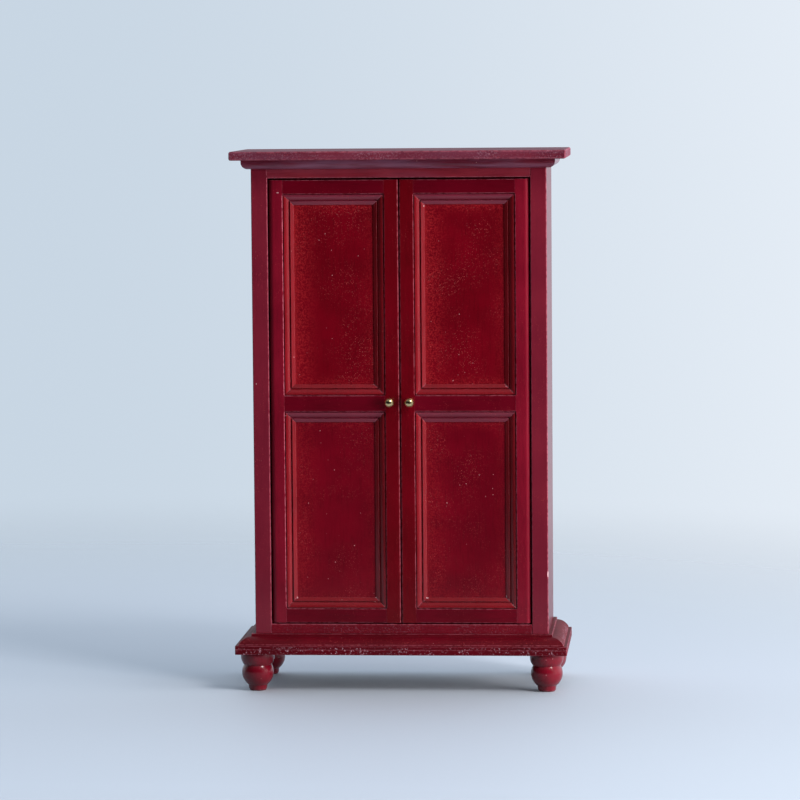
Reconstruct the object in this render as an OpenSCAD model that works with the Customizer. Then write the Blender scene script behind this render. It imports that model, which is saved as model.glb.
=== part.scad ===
// Two-door wardrobe for a doll's house, one twelfth scale.
// +Z is up, the doors face -Y, and the origin is on the floor under the middle of the cornice board.

/* [Overall] */
// Width across the cornice board
overall_w = 105; // [104:0.5:110]
// Depth from the front of the cornice board to the back
overall_d = 46; // [45:0.5:52]
// Height from the floor to the top of the cornice board
overall_h = 170; // [165:0.5:180]
// Width of the carcass between the cornice and the plinth
body_w = 92.6; // [90:0.1:94]
// Number of segments on a round edge
round_segments = 48; // [24:8:96]

/* [Cornice] */
// Thickness of the cornice board
cornice_t = 2.8; // [2:0.1:4]
// How far the cornice board stands out in front of the carcass
cornice_out = 6.5; // [5:0.1:7]
// Radius along the edges of the cornice board
cornice_edge_r = 0.6; // [0.2:0.1:1]
// How far the moulding under the board stands out from the carcass
cornice_mould_out = 2.8; // [2.5:0.1:4]
// Height of that moulding
cornice_mould_h = 2.8; // [2.5:0.1:4]
// Radius of its quarter round
cornice_mould_r = 2.1; // [1:0.1:2.3]

/* [Plinth] */
// Thickness of the plain board under the moulded one
plinth_base_t = 1.7; // [1:0.1:3]
// Thickness of the moulded board
plinth_mould_t = 4.4; // [4.2:0.1:6]
// How far the plinth stands out from the carcass at the front and sides
plinth_out = 5.95; // [5.6:0.05:6.2]
// Width of the flat ledge between the carcass and the moulding
plinth_ledge_w = 1.2; // [0.5:0.1:1.5]
// Drop from that ledge to the start of the ovolo
plinth_ledge_drop = 0.8; // [0.4:0.1:1.2]
// Width of the ovolo
plinth_ovolo_w = 3.7; // [2.5:0.1:3.8]
// Height of the ovolo
plinth_ovolo_h = 2.2; // [1.5:0.1:2.2]
// Height of the small step under the ovolo
plinth_step_h = 0.3; // [0.1:0.1:0.6]

/* [Feet] */
// Height of a foot under the plinth
foot_h = 11.9; // [11.5:0.1:14]
// Radius of the ball of a foot
foot_ball_r = 5; // [4.6:0.1:5.2]
// Height of the middle of the ball
foot_ball_z = 5.75; // [5.4:0.05:6]
// Radius of the collar above the ball
foot_collar_r = 5.3; // [5:0.1:5.6]
// Radius of the pad that the foot stands on
foot_pad_r = 3; // [2.5:0.1:3.4]
// Distance between the middles of the left and right feet
foot_span_x = 91.4; // [86:0.1:93]
// Distance between the middles of the front and rear feet
foot_span_y = 33.9; // [30:0.1:34]

/* [Carcass] */
// Thickness of the side panels
side_t = 3.2; // [2:0.1:4]
// Thickness of the back panel
back_t = 1.6; // [1:0.1:3]
// Thickness of the top board of the carcass
ceiling_t = 3.2; // [2:0.1:4]
// Thickness of the floor board
floor_t = 3.6; // [3.4:0.1:4]
// Width of the upright members of the face frame
frame_stile_w = 5.15; // [4.5:0.05:6]
// Thickness of the face frame
frame_t = 3.4; // [3.3:0.1:4]
// Height of the top member of the face frame
frame_top_h = 5.7; // [4.5:0.1:7]
// Height of the bottom member of the face frame
frame_bottom_h = 3; // [2.8:0.1:3.2]
// Radius on the front edges of the face frame
frame_edge_r = 0.35; // [0.1:0.05:0.5]

/* [Inside] */
// Height of the underside of the hat shelf
shelf_z = 132; // [120:0.5:140]
// Thickness of the hat shelf
shelf_t = 2.4; // [1.5:0.1:3]
// Side of the square bearers under the shelf
bearer_side = 2; // [1.5:0.1:3]
// Radius of the hanging rail
rail_r = 1.2; // [0.8:0.1:1.6]
// Drop from the shelf to the middle of the hanging rail
rail_drop = 6.5; // [5:0.1:10]
// Depth of the socket for each end of the hanging rail
rail_socket = 1.5; // [1:0.1:2]

/* [Doors] */
// Thickness of a door
door_t = 3.2; // [3:0.1:3.3]
// Gap between a door and the upright of the face frame
gap_side = 0.25; // [0.2:0.05:0.6]
// Gap over the doors
gap_top = 0.55; // [0.3:0.05:1]
// Gap under the doors
gap_bottom = 0.35; // [0.2:0.05:0.6]
// Gap between the two doors
gap_middle = 0.3; // [0.3:0.05:0.8]
// Width of the door stiles
door_stile_w = 4.5; // [4.2:0.1:6]
// Height of the top rail of a door
door_top_h = 4.45; // [3.5:0.05:6]
// Height of the middle rail of a door
door_mid_h = 5.1; // [4:0.1:7]
// Height of the bottom rail of a door
door_bottom_h = 4.55; // [3.5:0.05:6]
// Height of the middle of the middle rail
door_mid_z = 90.75; // [80:0.25:100]
// Radius on the meeting edges of the doors
door_edge_r = 0.4; // [0.1:0.05:0.6]

/* [Door panels] */
// Thickness of a panel
panel_t = 1.2; // [0.8:0.1:1.4]
// Distance from the front of the door back to the panel
panel_back = 1.6; // [1.5:0.05:1.7]
// Depth of the groove that holds the panel
groove_d = 0.8; // [0.5:0.1:0.8]
// Width of the moulding round a panel
strip_w = 3.4; // [3.2:0.1:3.8]

/* [Hinge pins and knobs] */
// Radius of a hinge pin
pin_r = 0.5; // [0.4:0.05:0.6]
// Gap between a hinge pin and its hole in the door
pin_gap = 0.06; // [0.02:0.01:0.1]
// Depth of a hinge pin in the face frame
pin_in_frame = 2.2; // [1.5:0.1:2.4]
// Depth of a hinge pin in the door
pin_in_door = 2.5; // [1.5:0.1:3]
// Radius of a knob
knob_r = 1.55; // [1:0.05:2]
// Height of the knobs
knob_z = 91.2; // [88.5:0.1:93]
// Distance from the meeting edge of the door to the knob
knob_in = 3; // [2.6:0.05:3.1]

/* [Hidden] */
$fn = round_segments;
eps = 0.01;
lacquer = [0.44, 0.03, 0.10];
lacquer_deep = [0.36, 0.02, 0.08];
lacquer_light = [0.56, 0.08, 0.14];
lacquer_inside = [0.32, 0.03, 0.07];
brass = [0.80, 0.66, 0.32];

// Levels, from the floor up
plinth_base_z = foot_h;
plinth_mould_z = plinth_base_z + plinth_base_t;
body_z0 = plinth_mould_z + plinth_mould_t;
body_z1 = overall_h - cornice_t;

// Lines on the plan
body_x = body_w / 2;
front = -overall_d / 2 + cornice_out;
back = overall_d / 2;
frame_back = front + frame_t;
inside_x = body_x - side_t;
inside_back = back - back_t;

// The opening for the doors, and the doors
opening_x = body_x - frame_stile_w;
opening_z0 = body_z0 + frame_bottom_h;
opening_z1 = body_z1 - frame_top_h;
door_outer = opening_x - gap_side;
door_inner = gap_middle / 2;
door_z0 = opening_z0 + gap_bottom;
door_z1 = opening_z1 - gap_top;
door_back = front + door_t;
panel_front = front + panel_back;

// The hinge axis is the centre of the round on the outer edge of the door
hinge_x = door_outer - door_t / 2;
hinge_y = front + door_t / 2;

// Openings inside a door frame, left door
hole_x = [-door_outer + door_stile_w, -door_inner - door_stile_w];
hole_upper_z = [door_mid_z + door_mid_h / 2, door_z1 - door_top_h];
hole_lower_z = [door_z0 + door_bottom_h, door_mid_z - door_mid_h / 2];

// Section of the moulding round a panel: w is the distance in from the door frame,
// d is the depth behind the front of the door
quirk_w = 0.3;
quirk_d = 0.85;
ovolo_w = 0.05;
ovolo_r = 2.4;
ovolo_d = 0.25;
ovolo_end_w = 1.85;
hollow_d = 1.4;
bevel_w = 2.3;
bevel_d = 0.8;
bevel_end_d = 1.35;

// A foot
pad_h = 1.8;
pad_chamfer = 0.5;
neck_z = 8.2;
collar_z = 10.6;
collar_round_r = 3.65;
spigot_r = 1.5;
spigot_h = 3.5;

// A knob
knob_flange_r = 1;
knob_flange_t = 0.4;
knob_neck_r = 0.6;
knob_reach = 2.35;
knob_shank_r = 0.4;
knob_shank_l = 2.2;

// The bearers stop short of both ends of the shelf
bearer_margin = 2;
rail_y = (frame_back + inside_back) / 2;
rail_z = shelf_z - rail_drop;

// ---- helpers ----

// Draws a section along an axis. Along X the section is drawn as (y, z), along Y as (x, z).
module along_x(x0, x1) {
    translate([x0, 0, 0]) rotate([90, 0, 90]) linear_extrude(x1 - x0) children();
}

module along_y(y0, y1) {
    translate([0, y1, 0]) rotate([90, 0, 0]) linear_extrude(y1 - y0) children();
}

module along_z(z0, z1) {
    translate([0, 0, z0]) linear_extrude(z1 - z0) children();
}

// A square-edged board between two values on each axis
module board(x, y, z) {
    translate([x[0], y[0], z[0]]) cube([x[1] - x[0], y[1] - y[0], z[1] - z[0]]);
}

module rectangle(a, b) {
    translate([a[0], b[0]]) square([a[1] - a[0], b[1] - b[0]]);
}

// What a rounded corner removes. The corner is at p, and the section lies towards (sa, sb).
module corner_waste(p, sa, sb, r) {
    translate(p) scale([sa, sb]) difference() {
        translate([-eps, -eps]) square([r + eps, r + eps]);
        translate([r, r]) circle(r);
    }
}

module pin_hole(r, x, y, z0, z1) {
    translate([x, y, z0]) cylinder(r = r, h = z1 - z0);
}

module mirrored() {
    mirror([1, 0, 0]) children();
}

// ---- cornice ----

// Rounded along the front and both sides, square at the back
module cornice_board() {
    w = overall_w / 2;
    color(lacquer) intersection() {
        along_x(-w, w) difference() {
            rectangle([-back, back], [body_z1, overall_h]);
            corner_waste([-back, body_z1], 1, 1, cornice_edge_r);
            corner_waste([-back, overall_h], 1, -1, cornice_edge_r);
        }
        along_y(-back, back) difference() {
            rectangle([-w, w], [body_z1, overall_h]);
            for (s = [-1, 1]) {
                corner_waste([s * w, body_z1], -s, 1, cornice_edge_r);
                corner_waste([s * w, overall_h], -s, -1, cornice_edge_r);
            }
        }
    }
}

// Quarter round under the cornice board. Drawn with the carcass at 0 and the outside at +.
module cornice_section() {
    z0 = body_z1 - cornice_mould_h;
    r = cornice_mould_r;
    difference() {
        rectangle([0, cornice_mould_out], [z0, body_z1]);
        corner_waste([cornice_mould_out, z0], -1, 1, r);
    }
}

module cornice_moulding_front() {
    out = cornice_mould_out;
    color(lacquer) intersection() {
        along_x(-body_x - out, body_x + out) translate([front, 0]) scale([-1, 1]) cornice_section();
        along_z(body_z1 - cornice_mould_h, body_z1) polygon([
            [-body_x, front], [body_x, front], [body_x + out, front - out], [-body_x - out, front - out]
        ]);
    }
}

module cornice_moulding_right() {
    out = cornice_mould_out;
    color(lacquer) intersection() {
        along_y(front - out, back) translate([body_x, 0]) cornice_section();
        along_z(body_z1 - cornice_mould_h, body_z1) polygon([
            [body_x, front], [body_x + out, front - out], [body_x + out, back], [body_x, back]
        ]);
    }
}

// ---- carcass ----

module right_side_panel() {
    color(lacquer) difference() {
        board([inside_x, body_x], [frame_back, back], [body_z0, body_z1]);
        translate([inside_x, rail_y, rail_z]) rotate([0, 90, 0]) cylinder(r = rail_r, h = rail_socket);
    }
}

module back_panel() {
    color(lacquer) board([-inside_x, inside_x], [inside_back, back], [body_z0, body_z1]);
}

module ceiling_board() {
    color(lacquer_inside)
        board([-inside_x, inside_x], [frame_back, inside_back], [body_z1 - ceiling_t, body_z1]);
}

// Stands a little higher than the frame in front of it, so that the doors close against its edge
module floor_board() {
    color(lacquer_inside)
        board([-inside_x, inside_x], [frame_back, inside_back], [body_z0, body_z0 + floor_t]);
}

module frame_right_stile() {
    color(lacquer) along_z(body_z0, body_z1) difference() {
        rectangle([opening_x, body_x], [front, frame_back]);
        corner_waste([opening_x, front], 1, 1, frame_edge_r);
        corner_waste([body_x, front], -1, 1, frame_edge_r);
    }
}

module frame_top_rail() {
    color(lacquer) difference() {
        board([-opening_x, opening_x], [front, frame_back], [opening_z1, body_z1]);
        for (s = [-1, 1])
            pin_hole(pin_r, s * hinge_x, hinge_y, opening_z1, opening_z1 + pin_in_frame);
    }
}

module frame_bottom_rail() {
    color(lacquer) difference() {
        board([-opening_x, opening_x], [front, frame_back], [body_z0, opening_z0]);
        for (s = [-1, 1])
            pin_hole(pin_r, s * hinge_x, hinge_y, opening_z0 - pin_in_frame, opening_z0);
    }
}

// ---- plinth and feet ----

// What the moulding removes from a square edge. Drawn with the carcass at 0 and the outside at +.
module plinth_waste() {
    drop = body_z0 - plinth_ledge_drop;
    start = plinth_ledge_w;
    end = start + plinth_ovolo_w;
    // radius of the arc that leaves (start, drop) level and reaches the foot of the ovolo
    r = (plinth_ovolo_w * plinth_ovolo_w + plinth_ovolo_h * plinth_ovolo_h) / (2 * plinth_ovolo_h);
    difference() {
        rectangle([start, plinth_out + 1], [drop - plinth_ovolo_h - plinth_step_h, body_z0 + 1]);
        intersection() {
            translate([start, drop - r]) circle(r, $fn = 96);
            rectangle([start - 1, end], [drop - plinth_ovolo_h - 1, drop + 1]);
        }
        rectangle([start - 1, end], [drop - plinth_ovolo_h - 1, drop - plinth_ovolo_h]);
    }
}

module foot_holes(z0, z1) {
    for (sx = [-1, 1])
        for (y = [front, front + foot_span_y])
            pin_hole(spigot_r, sx * foot_span_x / 2, y, z0, z1);
}

module plinth_moulded_board() {
    w = body_x + plinth_out;
    color(lacquer) difference() {
        board([-w, w], [front - plinth_out, back], [plinth_mould_z, body_z0]);
        along_x(-w - 1, w + 1) translate([front, 0]) scale([-1, 1]) plinth_waste();
        for (s = [-1, 1])
            along_y(front - plinth_out - 1, back + 1)
                translate([s * body_x, 0]) scale([s, 1]) plinth_waste();
        foot_holes(plinth_mould_z - 1, plinth_base_z + spigot_h);
    }
}

module plinth_base_board() {
    w = body_x + plinth_out;
    color(lacquer_deep) difference() {
        board([-w, w], [front - plinth_out, back], [plinth_base_z, plinth_mould_z]);
        foot_holes(plinth_base_z - 1, plinth_mould_z + 1);
    }
}

// Turned foot: pad, ball, neck, collar and the spigot that is glued into the plinth
module foot(sx, y) {
    color(lacquer) translate([sx * foot_span_x / 2, y, 0]) rotate_extrude() {
        polygon([
            [0, 0], [foot_pad_r - pad_chamfer, 0], [foot_pad_r - 0.15, pad_chamfer],
            [foot_pad_r, pad_h], [0, pad_h]
        ]);
        intersection() {
            translate([0, foot_ball_z]) circle(foot_ball_r);
            rectangle([0, foot_ball_r + 1], [pad_h, neck_z]);
        }
        intersection() {
            translate([foot_collar_r - collar_round_r, collar_z]) circle(collar_round_r);
            rectangle([0, foot_collar_r + 1], [neck_z, collar_z]);
        }
        rectangle([0, foot_collar_r], [collar_z, foot_h]);
        rectangle([0, spigot_r], [foot_h, foot_h + spigot_h]);
    }
}

// ---- inside ----

module hat_shelf() {
    color(lacquer_inside)
        board([-inside_x, inside_x], [frame_back, inside_back], [shelf_z, shelf_z + shelf_t]);
}

module right_shelf_bearer() {
    color(lacquer_inside) board(
        [inside_x - bearer_side, inside_x],
        [frame_back + bearer_margin, inside_back - bearer_margin],
        [shelf_z - bearer_side, shelf_z]
    );
}

module hanging_rail() {
    reach = inside_x + rail_socket;
    color(lacquer_light)
        translate([-reach, rail_y, rail_z]) rotate([0, 90, 0]) cylinder(r = rail_r, h = 2 * reach);
}

module left_top_hinge_pin() {
    color(brass) pin_hole(pin_r, -hinge_x, hinge_y, door_z1 - pin_in_door, opening_z1 + pin_in_frame);
}

module left_bottom_hinge_pin() {
    color(brass) pin_hole(pin_r, -hinge_x, hinge_y, opening_z0 - pin_in_frame, door_z0 + pin_in_door);
}

// ---- left door; the right door is its mirror image ----

// The groove for the panel and the stub tenons, along an edge of a door stile
module groove(x) {
    board(x, [panel_front, panel_front + panel_t], [door_z0 - 1, door_z1 + 1]);
}

// The outer edge is a half round about the hinge axis
module hinge_stile() {
    hole_r = pin_r + pin_gap;
    hole_d = pin_in_door + 0.2;
    color(lacquer) difference() {
        along_z(door_z0, door_z1) {
            rectangle([-hinge_x, hole_x[0]], [front, door_back]);
            translate([-hinge_x, hinge_y]) circle(door_t / 2);
        }
        groove([hole_x[0] - groove_d, hole_x[0] + 1]);
        pin_hole(hole_r, -hinge_x, hinge_y, door_z0 - 1, door_z0 + hole_d);
        pin_hole(hole_r, -hinge_x, hinge_y, door_z1 - hole_d, door_z1 + 1);
    }
}

module meeting_stile() {
    color(lacquer) difference() {
        along_z(door_z0, door_z1) difference() {
            rectangle([hole_x[1], -door_inner], [front, door_back]);
            corner_waste([-door_inner, front], -1, 1, door_edge_r);
            corner_waste([-door_inner, door_back], -1, -1, door_edge_r);
        }
        groove([hole_x[1] - 1, hole_x[1] + groove_d]);
        translate([-door_inner - knob_in, front - 1, knob_z]) rotate([-90, 0, 0])
            cylinder(r = knob_shank_r, h = 1 + knob_shank_l);
    }
}

// A rail with a stub tenon at each end, grooved along the edges that hold a panel
module door_rail(z, groove_above, groove_below) {
    thickness = [panel_front, panel_front + panel_t];
    color(lacquer) difference() {
        union() {
            board(hole_x, [front, door_back], z);
            board([hole_x[0] - groove_d, hole_x[1] + groove_d], thickness, z);
        }
        if (groove_above)
            board([hole_x[0] - 1, hole_x[1] + 1], thickness, [z[1] - groove_d, z[1] + 1]);
        if (groove_below)
            board([hole_x[0] - 1, hole_x[1] + 1], thickness, [z[0] - 1, z[0] + groove_d]);
    }
}

module panel(z) {
    color(lacquer_deep) board(
        [hole_x[0] - groove_d, hole_x[1] + groove_d],
        [panel_front, panel_front + panel_t],
        [z[0] - groove_d, z[1] + groove_d]
    );
}

// Section of the panel moulding as (y, z): the door frame is at z = 0 and the panel side at z < 0
module strip_section() {
    translate([front, 0]) {
        rectangle([quirk_d, panel_back], [-quirk_w, 0]);
        rectangle([hollow_d, panel_back], [-bevel_w, 0]);
        intersection() {
            translate([ovolo_d + ovolo_r, -ovolo_w]) circle(ovolo_r);
            rectangle([0, panel_back], [-ovolo_end_w, -quirk_w]);
        }
        polygon([
            [bevel_d, -bevel_w], [bevel_end_d, -strip_w],
            [panel_back, -strip_w], [panel_back, -bevel_w]
        ]);
    }
}

// A strip along X, mitred at both ends, with its outer edge on z = 0
module strip(length) {
    color(lacquer_light) intersection() {
        along_x(-length / 2, length / 2) strip_section();
        along_y(front, panel_front) polygon([
            [-length / 2, 0], [length / 2, 0],
            [length / 2 - strip_w, -strip_w], [-length / 2 + strip_w, -strip_w]
        ]);
    }
}

// turn is the angle about Y: 0 for the top strip, 180 bottom, -90 hinge side, 90 meeting side
module panel_moulding(z, turn) {
    x_mid = (hole_x[0] + hole_x[1]) / 2;
    z_mid = (z[0] + z[1]) / 2;
    half_x = (hole_x[1] - hole_x[0]) / 2;
    half_z = (z[1] - z[0]) / 2;
    upright = abs(turn) == 90;
    translate([x_mid + half_x * sin(turn), 0, z_mid + half_z * cos(turn)])
        rotate([0, turn, 0]) strip(upright ? 2 * half_z : 2 * half_x);
}

module knob() {
    color(brass) translate([-door_inner - knob_in, front, knob_z]) rotate([90, 0, 0]) rotate_extrude() {
        rectangle([0, knob_shank_r], [-knob_shank_l, 0]);
        rectangle([0, knob_flange_r], [0, knob_flange_t]);
        rectangle([0, knob_neck_r], [0, knob_reach]);
        intersection() {
            translate([0, knob_reach]) circle(knob_r);
            rectangle([0, knob_r], [0, 2 * knob_reach]);
        }
    }
}

module door_top_rail() door_rail([hole_upper_z[1], door_z1], false, true);
module door_mid_rail() door_rail([hole_lower_z[1], hole_upper_z[0]], true, true);
module door_bottom_rail() door_rail([door_z0, hole_lower_z[0]], true, false);

// ---- nodes ----

rear = front + foot_span_y;

cornice_board();
cornice_moulding_front();
mirrored() cornice_moulding_right();  // cornice_moulding_left
cornice_moulding_right();
mirrored() right_side_panel();  // left_side_panel
right_side_panel();
back_panel();
ceiling_board();
floor_board();
mirrored() frame_right_stile();  // frame_left_stile
frame_right_stile();
frame_top_rail();
frame_bottom_rail();
plinth_moulded_board();
plinth_base_board();
foot(-1, front);  // foot_front_left
foot(1, front);  // foot_front_right
foot(-1, rear);  // foot_rear_left
foot(1, rear);  // foot_rear_right
hat_shelf();
mirrored() right_shelf_bearer();  // left_shelf_bearer
right_shelf_bearer();
hanging_rail();
left_top_hinge_pin();
left_bottom_hinge_pin();
mirrored() left_top_hinge_pin();  // right_top_hinge_pin
mirrored() left_bottom_hinge_pin();  // right_bottom_hinge_pin

hinge_stile();  // left_hinge_stile
meeting_stile();  // left_meeting_stile
door_top_rail();  // left_top_rail
door_mid_rail();  // left_mid_rail
door_bottom_rail();  // left_bottom_rail
panel(hole_upper_z);  // left_upper_panel
panel(hole_lower_z);  // left_lower_panel
panel_moulding(hole_upper_z, 0);  // left_upper_moulding_top
panel_moulding(hole_upper_z, 180);  // left_upper_moulding_bottom
panel_moulding(hole_upper_z, -90);  // left_upper_moulding_hinge_side
panel_moulding(hole_upper_z, 90);  // left_upper_moulding_meeting_side
panel_moulding(hole_lower_z, 0);  // left_lower_moulding_top
panel_moulding(hole_lower_z, 180);  // left_lower_moulding_bottom
panel_moulding(hole_lower_z, -90);  // left_lower_moulding_hinge_side
panel_moulding(hole_lower_z, 90);  // left_lower_moulding_meeting_side
knob();  // left_knob

mirrored() hinge_stile();  // right_hinge_stile
mirrored() meeting_stile();  // right_meeting_stile
mirrored() door_top_rail();  // right_top_rail
mirrored() door_mid_rail();  // right_mid_rail
mirrored() door_bottom_rail();  // right_bottom_rail
mirrored() panel(hole_upper_z);  // right_upper_panel
mirrored() panel(hole_lower_z);  // right_lower_panel
mirrored() panel_moulding(hole_upper_z, 0);  // right_upper_moulding_top
mirrored() panel_moulding(hole_upper_z, 180);  // right_upper_moulding_bottom
mirrored() panel_moulding(hole_upper_z, -90);  // right_upper_moulding_hinge_side
mirrored() panel_moulding(hole_upper_z, 90);  // right_upper_moulding_meeting_side
mirrored() panel_moulding(hole_lower_z, 0);  // right_lower_moulding_top
mirrored() panel_moulding(hole_lower_z, 180);  // right_lower_moulding_bottom
mirrored() panel_moulding(hole_lower_z, -90);  // right_lower_moulding_hinge_side
mirrored() panel_moulding(hole_lower_z, 90);  // right_lower_moulding_meeting_side
mirrored() knob();  // right_knob
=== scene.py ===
"""The looks of the doll's house wardrobe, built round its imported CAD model.

Everything is in metres, in the CAD model's own frame: +Z up, doors facing -Y, origin on the floor.
Each CAD node is replaced by a finished piece in the same place, as large as the part of it that
shows: boards with sanded edges, mitred mouldings, turned feet and knobs. The finishes are procedural.
"""

import math

import bmesh
import bpy
from mathutils import Matrix, Vector

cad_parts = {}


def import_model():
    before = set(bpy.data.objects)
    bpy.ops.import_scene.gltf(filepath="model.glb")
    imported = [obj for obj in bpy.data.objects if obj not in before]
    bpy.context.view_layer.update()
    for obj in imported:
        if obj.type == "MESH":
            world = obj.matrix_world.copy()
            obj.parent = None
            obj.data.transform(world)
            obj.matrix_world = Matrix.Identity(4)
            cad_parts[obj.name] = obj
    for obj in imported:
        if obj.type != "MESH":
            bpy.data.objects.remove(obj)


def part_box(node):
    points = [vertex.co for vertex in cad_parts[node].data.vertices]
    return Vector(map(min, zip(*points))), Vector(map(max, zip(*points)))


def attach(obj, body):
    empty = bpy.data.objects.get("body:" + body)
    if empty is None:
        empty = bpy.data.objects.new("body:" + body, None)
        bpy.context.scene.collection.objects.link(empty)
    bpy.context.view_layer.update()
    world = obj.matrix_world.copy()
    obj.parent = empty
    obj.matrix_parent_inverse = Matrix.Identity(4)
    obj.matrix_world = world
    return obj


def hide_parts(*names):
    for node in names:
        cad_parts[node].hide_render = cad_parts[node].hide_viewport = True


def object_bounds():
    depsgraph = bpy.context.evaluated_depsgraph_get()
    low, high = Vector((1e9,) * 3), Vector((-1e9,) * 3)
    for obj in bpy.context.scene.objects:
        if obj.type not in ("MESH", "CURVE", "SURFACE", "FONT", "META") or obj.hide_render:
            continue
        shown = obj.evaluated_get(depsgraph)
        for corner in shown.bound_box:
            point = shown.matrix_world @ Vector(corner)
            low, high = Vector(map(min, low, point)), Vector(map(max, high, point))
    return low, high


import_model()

CAD_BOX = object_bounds()
MM = 0.001

# ---------------------------------------------------------------- sizes, in millimetres

# Radii of sanded and painted edges
EDGE = 0.32          # an edge that is free to touch
OPENING_EDGE = 0.26  # the edge of a door frame round a panel
MEETING_EDGE = 0.4   # the edges where the two doors meet
DOOR_END = 0.12      # the top and bottom of a door stile
SHELF_EDGE = 0.3
FLOOR_EDGE = 0.25
INSIDE_EDGE = 0.15
BACK_EDGE = 0.12
BASE_EDGE = 0.18
JOINT_EDGE = 0.07    # where two boards meet and the paint bridges the joint
HIDDEN_EDGE = 0.03
# The run beside a rail over which a stile's inner edge goes from hidden to sanded
SANDING_RUN = 0.4
# A narrow border that keeps the shading of each flat end flat
CAP_BORDER = 0.02

# Steps in each quarter of a sanded edge, and in the larger curves
ARC_STEPS = 6
SLAB_STEPS = 8
CORNICE_STEPS = 14
OVOLO_STEPS = 12
COLLAR_STEPS = 12
BALL_STEPS = 28
KNOB_STEPS = 22
# Steps round each kind of turned piece
FOOT_SIDES, KNOB_SIDES, RAIL_SIDES, PIN_SIDES = 96, 48, 32, 24

# Cornice
CORNICE_EDGE = 0.6
CORNICE_CORNER = 0.45
CORNICE_ROUND = 2.1
# The back corners of the cornice and the plinth, against the wall
WALL_CORNER = 0.05

# Plinth moulding: distance out from the carcass, and drop from the top of the board
PLINTH_LEDGE_W = 1.2
PLINTH_LEDGE_DROP = 0.8
PLINTH_OVOLO_W = 3.7
PLINTH_OVOLO_H = 2.2
PLINTH_STEP_H = 0.3
# How far the outline goes in under the board before its flat end
PLINTH_UNDER_W = 1.0
PLINTH_CORNER = 0.3
PLINTH_SOFT = 0.16

# Panel moulding: width in from the door frame, and depth behind the front of the door
STRIP_W = 3.4
QUIRK_W, QUIRK_D = 0.30, 0.85
OVOLO_MID_W, OVOLO_R, OVOLO_D = 0.05, 2.4, 0.25
OVOLO_END_W = 1.85
HOLLOW_D, HOLLOW_SLOPE = 1.4, 0.06
BEVEL_W, BEVEL_D, BEVEL_END_D = 2.3, 0.8, 1.35
PANEL_D = 1.6
STRIP_SOFT = 0.08

# Mitres: which end, distance from the joint, and how deep the joint sinks there
MITRE_STATIONS = ((-1, 0.0, 0.05), (-1, 0.07, 0.0), (-1, 0.5, 0.0),
                  (1, 0.5, 0.0), (1, 0.07, 0.0), (1, 0.0, 0.05))
# How far from the joint it shows in the paint
MITRE_SHOW = 0.45

# Feet: radius and height of each point of the turned outline
BALL_R, BALL_Z = 5.0, 5.75
PAD_R, PAD_TOP = 3.0, 1.8
PAD_BEVEL, PAD_BEVEL_H, PAD_TAPER = 0.35, 0.5, 0.15
NECK_Z, COLLAR_Z = 8.2, 10.6
COLLAR_R, COLLAR_ROUND = 5.3, 3.65
FOOT_SOFT = 0.14

# Knobs
KNOB_R, KNOB_REACH = 1.55, 2.35
KNOB_FLANGE_R, KNOB_FLANGE_T, KNOB_NECK_R = 1.0, 0.4, 0.6
KNOB_FLANGE_SLOPE = 0.1
# Where the round of the knob stops, in degrees, just short of the axis
KNOB_END = 88
KNOB_SOFT = 0.1

# Rounding at the ends of the clothes rail and of the hinge pins
RAIL_SOFT = 0.15
PIN_SOFT = 0.12

# The most of a short side that soften rounds
UNDER_HALF = 0.45
# Just off the axis, so that a flat end of a turned piece keeps its own shading
OFF_AXIS = 0.01

# Lines of the CAD model, in metres
BODY_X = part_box("right_side_panel")[1].x
FRONT_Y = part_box("frame_top_rail")[0].y
BACK_Y = CAD_BOX[1].y


# ---------------------------------------------------------------- outlines

def arc(cx, cy, r, start, end, steps):
    """Points on a circle from one angle to another, in degrees, both ends included."""
    angles = [math.radians(start + (end - start) * i / steps) for i in range(steps + 1)]
    return [(cx + r * math.cos(a), cy + r * math.sin(a)) for a in angles]


def soften(points, cut, steps=4):
    """Rounds each inner corner of an open outline, starting at most cut before the corner.

    On a short side the rounding takes less than half of it, so that two never meet.
    """
    out = [points[0]]
    for before, here, after in zip(points, points[1:], points[2:]):
        corner = Vector(here)
        a, b = Vector(before) - corner, Vector(after) - corner
        reach_a, reach_b = min(cut, a.length * UNDER_HALF), min(cut, b.length * UNDER_HALF)
        a, b = corner + a.normalized() * reach_a, corner + b.normalized() * reach_b
        for i in range(steps + 1):
            t = i / steps
            q = a * (1 - t) ** 2 + corner * 2 * t * (1 - t) + b * t * t
            out.append((q.x, q.y))
    out.append(points[-1])
    return out


def rounded_rectangle(a0, a1, b0, b1, radii):
    """Points round a rectangle, with a radius for each of its corners, from the low one round."""
    corners = [(a0, b0, 1, 1, 180), (a1, b0, -1, 1, 270), (a1, b1, -1, -1, 0), (a0, b1, 1, -1, 90)]
    points = []
    for (a, b, to_a, to_b, start), r in zip(corners, radii):
        points += arc(a + to_a * r, b + to_b * r, r, start, start + 90, ARC_STEPS)
    return points


def rod_outline(r, length, cut):
    """(radius, distance along) of a plain rod with softened ends."""
    side = soften([(OFF_AXIS, 0), (r, 0), (r, length), (OFF_AXIS, length)], cut)
    return [(0, 0)] + side + [(0, length)]


def edge_round(z_low, z_high, r):
    """(inset, height) down the side of a board with both edges rounded. Heights are in metres."""
    turns = [math.pi / 2 * i / SLAB_STEPS for i in range(SLAB_STEPS + 1)]
    top = [(r * (1 - math.sin(t)), z_high / MM - r * (1 - math.cos(t))) for t in turns]
    bottom = [(inset, z_low / MM + z_high / MM - z) for inset, z in reversed(top)]
    return [(inset, z * MM) for inset, z in top + bottom]


# ---------------------------------------------------------------- meshes

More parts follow.
